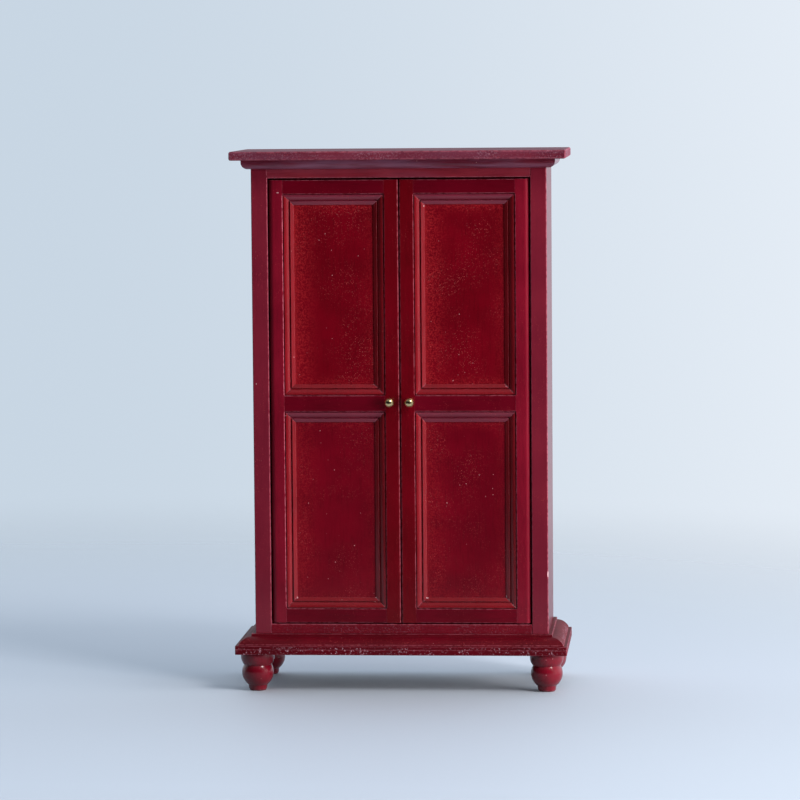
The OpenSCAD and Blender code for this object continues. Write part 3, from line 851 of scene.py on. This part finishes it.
def strip_mesh(length, face_y, centre, turn):
    """A mitred strip, its outer edge at centre, turned about Y: 0 for the top of a panel.

    Also gives the function that says how near a point is to a mitre, from 0 to 1.
    """
    spin = Matrix.Rotation(math.radians(turn), 3, "Y")
    half = length / 2 / MM
    rings = []
    for end, back_off, sink in MITRE_STATIONS:
        ring = []
        for w, d in STRIP:
            t = end * (half - w - back_off)
            depth = d if d >= PANEL_D else d + sink
            forward = Vector((0, face_y + depth * MM, 0))
            ring.append(centre + spin @ Vector((t * MM, 0, -w * MM)) + forward)
        rings.append(ring)

    def near_mitre(point):
        local = spin.transposed() @ (point - centre)
        return max(0.0, 1 - (half + local.z / MM - abs(local.x) / MM) / MITRE_SHOW)

    return loft(rings), near_mitre


def door_stile(side, name, openings):
    """A stile of a door. Its inner edge is sanded only along the openings for the panels."""
    lo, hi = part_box(f"{side}_{name}_stile")
    outer = (hi.y - lo.y) / 2 / MM if name == "hinge" else MEETING_EDGE
    outer_side = "left" if (name == "hinge") == (side == "left") else "right"

    def radii(inner):
        return mirror_radii((inner, outer, outer, HIDDEN_EDGE), outer_side)

    changes = []
    for z0, z1 in openings:
        changes += [(z0, radii(HIDDEN_EDGE)), (z0 + SANDING_RUN * MM, radii(OPENING_EDGE)),
                    (z1 - SANDING_RUN * MM, radii(OPENING_EDGE)), (z1, radii(HIDDEN_EDGE))]
    bm = board_mesh(lo, hi, 2, radii(HIDDEN_EDGE), (DOOR_END, DOOR_END), changes)
    finish_piece(bm, f"{side}_{name}_stile", EDGE_PAINT if name == "hinge" else DOOR_PAINT,
                 f"{side}_door")


def door_rail(side, name, x0, x1):
    """A rail of a door, from stile to stile."""
    lo, hi = (corner.copy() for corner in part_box(f"{side}_{name}_rail"))
    lo.x, hi.x = x0, x1
    low = EDGE if name == "bottom" else OPENING_EDGE
    high = EDGE if name == "top" else OPENING_EDGE
    bm = board_mesh(lo, hi, 0, (low, HIDDEN_EDGE, HIDDEN_EDGE, high), (HIDDEN_EDGE, HIDDEN_EDGE))
    finish_piece(bm, f"{side}_{name}_rail", LOW_RAIL_PAINT if name == "bottom" else RAIL_PAINT,
                 f"{side}_door")


def door_panel(side, name, x0, x1, z0, z1, face):
    """A panel, as much of it as shows, and the four mitred strips round it."""
    lo, hi = (corner.copy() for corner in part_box(f"{side}_{name}_panel"))
    lo.x, hi.x, lo.z, hi.z = x0, x1, z0, z1
    finish_piece(board_mesh(lo, hi, 2, (HIDDEN_EDGE,) * 4), f"{side}_{name}_panel",
                 PANEL_PAINT if name == "upper" else LOW_PANEL_PAINT, f"{side}_door")
    hinge_x, meeting_x = (x0, x1) if side == "left" else (x1, x0)
    turn_in = 90 if side == "left" else -90
    mid_x, mid_z = (x0 + x1) / 2, (z0 + z1) / 2
    for part, x, z, turn, length in (("top", mid_x, z1, 0, x1 - x0),
                                     ("bottom", mid_x, z0, 180, x1 - x0),
                                     ("hinge_side", hinge_x, mid_z, -turn_in, z1 - z0),
                                     ("meeting_side", meeting_x, mid_z, turn_in, z1 - z0)):
        bm, near_mitre = strip_mesh(length, face, Vector((x, 0, z)), turn)
        # The top strips take the red with the painted floor reflection
        paint = TOP_BEAD_REFLECTION_PAINT if part == "top" else BEAD_PAINT
        finish_piece(bm, f"{side}_{name}_moulding_{part}", paint, f"{side}_door",
                     near_mitre)


def knob(side, face):
    """A small turned knob: a flange, a neck and a ball."""
    lo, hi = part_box(f"{side}_knob")
    start = math.degrees(math.acos(KNOB_NECK_R / KNOB_R))
    outline = [(OFF_AXIS, 0), (KNOB_FLANGE_R, 0), (KNOB_FLANGE_R, KNOB_FLANGE_T),
               (KNOB_NECK_R, KNOB_FLANGE_T + KNOB_FLANGE_SLOPE)]
    outline += arc(0, KNOB_REACH, KNOB_R, -start, KNOB_END, KNOB_STEPS)
    outline = [(0, 0)] + soften(outline, KNOB_SOFT, 3) + [(0, KNOB_REACH + KNOB_R)]
    centre = Vector(((lo.x + hi.x) / 2, face, (lo.z + hi.z) / 2))
    finish_piece(lathe_mesh(outline, centre, "-y", KNOB_SIDES), f"{side}_knob", KNOB_BRASS,
                 f"{side}_door")


def hinge_pin(side, end):
    """A pin that a door turns on. It stays in the face frame."""
    lo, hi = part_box(f"{side}_{end}_hinge_pin")
    outline = rod_outline((hi.x - lo.x) / 2 / MM, (hi.z - lo.z) / MM, PIN_SOFT)
    foot = Vector(((lo.x + hi.x) / 2, (lo.y + hi.y) / 2, lo.z))
    finish_piece(lathe_mesh(outline, foot, "z", PIN_SIDES), f"{side}_{end}_hinge_pin", PIN_BRASS)


def door(side):
    """One door: five frame members, two panels with their mouldings, a knob and its two pins."""
    stiles = sorted((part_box(f"{side}_{name}_stile") for name in ("hinge", "meeting")),
                    key=lambda box: box[0].x)
    rails = {name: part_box(f"{side}_{name}_rail") for name in ("top", "mid", "bottom")}
    x0, x1 = stiles[0][1].x, stiles[1][0].x
    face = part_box(f"{side}_hinge_stile")[0].y
    openings = {"upper": (rails["mid"][1].z, rails["top"][0].z),
                "lower": (rails["bottom"][1].z, rails["mid"][0].z)}
    for name in ("hinge", "meeting"):
        door_stile(side, name, openings.values())
    for name in rails:
        door_rail(side, name, x0, x1)
    for name, (z0, z1) in openings.items():
        door_panel(side, name, x0, x1, z0, z1, face)
    knob(side, face)
    for end in ("top", "bottom"):
        hinge_pin(side, end)


# ---------------------------------------------------------------- studio

# The backdrop as light, and as the camera sees it from left to right
BACKDROP = (0.62, 0.71, 0.80)
BACKDROP_LEFT = rgb(0.578, 0.672, 0.772)
BACKDROP_RIGHT = rgb(0.870, 0.920, 0.985)
FLOOR_COLOUR = (0.50, 0.548, 0.622)
FLOOR_HALF = 1.6
FLOOR_CELLS = 32
# In metres: the middle of the floor, the radii round it between which the floor fades at the sides and
# behind, and the places along Y between which it fades in front
FADE_X, FADE_Y = -0.12, -0.05
FADE_AROUND = (0.12, 0.62)
FADE_FRONT = (-0.18, -0.30)

# The camera: its place in metres, its turn, tilt and roll in degrees, and its lens in millimetres
EYE = (0.0946, -1.2159, 0.1914)
YAW, PITCH, ROLL = 4.507, -4.729, 0.454
LENS, SENSOR = 173.25, 36.0
NEAREST, FARTHEST = 0.05, 20.0


def floor():
    """A pale sheet that fades into the backdrop all round. It is darker as a source of light."""
    bm = bmesh.new()
    bmesh.ops.create_grid(bm, x_segments=FLOOR_CELLS, y_segments=FLOOR_CELLS, size=FLOOR_HALF)
    mesh = bpy.data.meshes.new("floor")
    bm.to_mesh(mesh)
    bm.free()
    sheet = bpy.data.objects.new("floor", mesh)
    bpy.context.scene.collection.objects.link(sheet)

    f = Finish("floor_paper")
    x, y, _ = f.split(f.place((MM, MM, MM)))
    wide = f.math("POWER", f.math("ADD", x, -FADE_X), 2.0)
    deep = f.math("POWER", f.most(f.math("ADD", y, -FADE_Y), 0.0), 2.0)
    around = f.step(f.math("SQRT", f.math("ADD", wide, deep)), *FADE_AROUND)
    fade = f.most(around, f.step(y, *FADE_FRONT))
    rays = f.add("ShaderNodeLightPath", {}).outputs
    unseen = f.math("ADD", f.times(rays["Is Glossy Ray"], 0.4), f.times(rays["Is Diffuse Ray"], 0.5))
    seen = f.math("SUBTRACT", 1.0, unseen)
    colour = f.vector("SCALE", {0: FLOOR_COLOUR, "Scale": seen}).outputs[0]
    f.surface(Base_Color=colour, Roughness=0.6, Specular_IOR_Level=0.2)
    clear = f.add("ShaderNodeBsdfTransparent", {}).outputs[0]
    both = f.add("ShaderNodeMixShader", {0: fade, 1: f.shader.outputs[0], 2: clear})
    f.set(f.tree.nodes["Material Output"].inputs[0], both.outputs[0])
    mesh.materials.append(f.material)


def world():
    """A pale backdrop. As light, it is bright behind, above and to the right, and dark in front."""
    backdrop = bpy.data.worlds.new("studio")
    bpy.context.scene.world = backdrop
    backdrop.use_nodes = True
    n = Nodes(backdrop.node_tree)
    right, rear, up = n.split(n.coordinates("Generated"))
    behind = n.times(n.step(rear, -0.25, 0.5), 0.9)
    beside = n.times(n.step(right, 0.45, 1.0), 0.6)
    above = n.times(n.step(up, 0.3, 0.9), 0.30)
    mirrored = n.math("ADD", n.math("ADD", n.math("ADD", behind, beside), above), 0.008)
    rays = n.add("ShaderNodeLightPath", {}).outputs
    soft = n.math("ADD", n.step(rear, -0.15, 0.4), 0.045)
    strength = n.math("ADD", mirrored, n.times(soft, rays["Is Diffuse Ray"]))
    light = n.vector("SCALE", {0: BACKDROP, "Scale": strength}).outputs[0]
    # Painted light and shade on the backdrop as the camera sees it: darker at the left, brighter at the
    # right
    sight = n.mix(n.step(right, -0.19, 0.16), BACKDROP_LEFT, BACKDROP_RIGHT)
    n.set(n.tree.nodes["Background"].inputs["Color"], n.mix(rays["Is Camera Ray"], light, sight))


def softbox(name, direction, distance, size, radiance, colour, mirrored=True):
    """A rectangular soft light, aimed at the middle of the wardrobe. size is its width and height."""
    data = bpy.data.lights.new(name, "AREA")
    data.shape = "RECTANGLE"
    data.size, data.size_y = size
    data.energy = radiance * math.pi * size[0] * size[1]
    data.color = colour
    lamp = bpy.data.objects.new(name, data)
    bpy.context.scene.collection.objects.link(lamp)
    way = Vector(direction).normalized()
    lamp.location = (CAD_BOX[0] + CAD_BOX[1]) / 2 + way * distance
    lamp.rotation_mode = "QUATERNION"
    lamp.rotation_quaternion = way.to_track_quat("Z", "Y")
    lamp.visible_glossy = mirrored


def camera():
    """A long lens, a little above the top of the wardrobe and to its right."""
    data = bpy.data.cameras.new("camera")
    data.lens, data.sensor_width = LENS, SENSOR
    data.clip_start, data.clip_end = NEAREST, FARTHEST
    eye = bpy.data.objects.new("camera", data)
    bpy.context.scene.collection.objects.link(eye)
    turn = Matrix.Identity(4)
    for degrees, axis in ((YAW, "Z"), (PITCH, "X"), (ROLL, "Y")):
        turn = turn @ Matrix.Rotation(math.radians(degrees), 4, axis)
    level_view = Matrix.Rotation(math.pi / 2, 4, "X")
    eye.matrix_world = Matrix.Translation(EYE) @ turn @ level_view
    bpy.context.scene.camera = eye


# ---------------------------------------------------------------- the scene

carcass()
hanging_rail()
cornice()
plinth()
feet()
door("left")
door("right")

floor()
world()
softbox("key", (0.52, -0.50, 0.69), 1.0, (0.23, 0.38), 16.5, (1.0, 0.97, 0.95))
softbox("side_fill", (0.93, -0.32, 0.05), 0.9, (0.76, 0.62), 10.6, (1.0, 0.98, 0.96), mirrored=False)
softbox("left_fill", (-0.78, -0.50, 0.25), 1.3, (1.0, 1.0), 0.2, (0.94, 0.97, 1.0), mirrored=False)
camera()
bpy.context.scene.view_settings.view_transform = "Standard"
